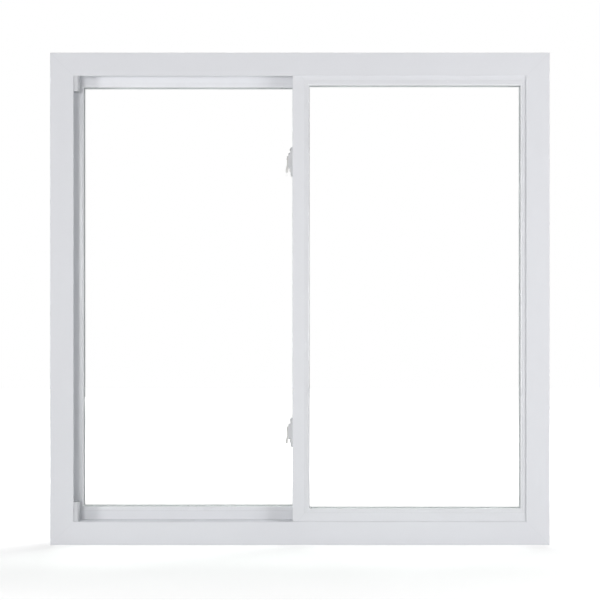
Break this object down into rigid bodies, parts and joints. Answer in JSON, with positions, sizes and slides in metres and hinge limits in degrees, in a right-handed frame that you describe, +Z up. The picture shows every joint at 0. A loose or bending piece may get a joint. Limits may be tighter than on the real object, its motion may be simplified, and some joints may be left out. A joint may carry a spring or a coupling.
{
  "type": "horizontal sliding window",
  "caption": "White vinyl two-lite horizontal sliding window: a fixed sash in the outer track and a sliding sash with cam locks in the inner track.",
  "frame": {"origin": "middle of the sill's underside, half way through the frame's depth", "axes": "+X to the right seen from the room, +Y from the room to the outside, +Z up"},
  "size_m": [0.908, 0.085, 0.895],
  "materials": {
    "vinyl": "satin white extruded vinyl",
    "sash_vinyl": "satin white extruded vinyl",
    "bead_vinyl": "satin white extruded vinyl",
    "glass": "clear float glass",
    "spacer": "dull grey edge spacer",
    "track_aluminium": "mill finish",
    "roller_case": "moulded nylon",
    "roller_wheel": "turned",
    "bumper": "moulded white block",
    "setting_block": "dull",
    "lock_enamel": "white enamel on a die casting",
    "keeper_steel": "white enamel on pressed steel",
    "pile": "grey brush pile on a woven back",
    "weep_plastic": "moulded white"
  },
  "bodies": {
    "root": {"frame_head": "vinyl", "frame_sill": "vinyl", "frame_jamb_left": "vinyl", "frame_jamb_right": "vinyl", "sliding_top_rail": "sash_vinyl", "sliding_bottom_rail": "sash_vinyl", "sliding_jamb_stile": "sash_vinyl", "sliding_meeting_stile": "sash_vinyl", "sliding_bead_top": "bead_vinyl", "sliding_bead_bottom": "bead_vinyl", "sliding_bead_jamb": "bead_vinyl", "sliding_bead_meeting": "bead_vinyl", "sliding_pane_room": "glass", "sliding_pane_outside": "glass", "sliding_spacer": "spacer", "fixed_top_rail": "sash_vinyl", "fixed_bottom_rail": "sash_vinyl", "fixed_jamb_stile": "sash_vinyl", "fixed_meeting_stile": "sash_vinyl", "fixed_bead_top": "bead_vinyl", "fixed_bead_bottom": "bead_vinyl", "fixed_bead_jamb": "bead_vinyl", "fixed_bead_meeting": "bead_vinyl", "fixed_pane_room": "glass", "fixed_pane_outside": "glass", "fixed_spacer": "spacer", "roller_track": "track_aluminium", "roller_left_case": "roller_case", "roller_right_case": "roller_case", "roller_left_wheel": "roller_wheel", "roller_right_wheel": "roller_wheel", "bumper_upper": "bumper", "bumper_lower": "bumper", "setting_blocks": "setting_block", "lock_upper_case": "lock_enamel", "lock_lower_case": "lock_enamel", "lock_upper_lever": "lock_enamel", "lock_lower_lever": "lock_enamel", "keeper_upper": "keeper_steel", "keeper_lower": "keeper_steel", "weep_cover_left": "weep_plastic", "weep_cover_right": "weep_plastic", "pile_sliding_sash": "pile", "pile_interlock": "pile"}
  },
  "joints": []
}
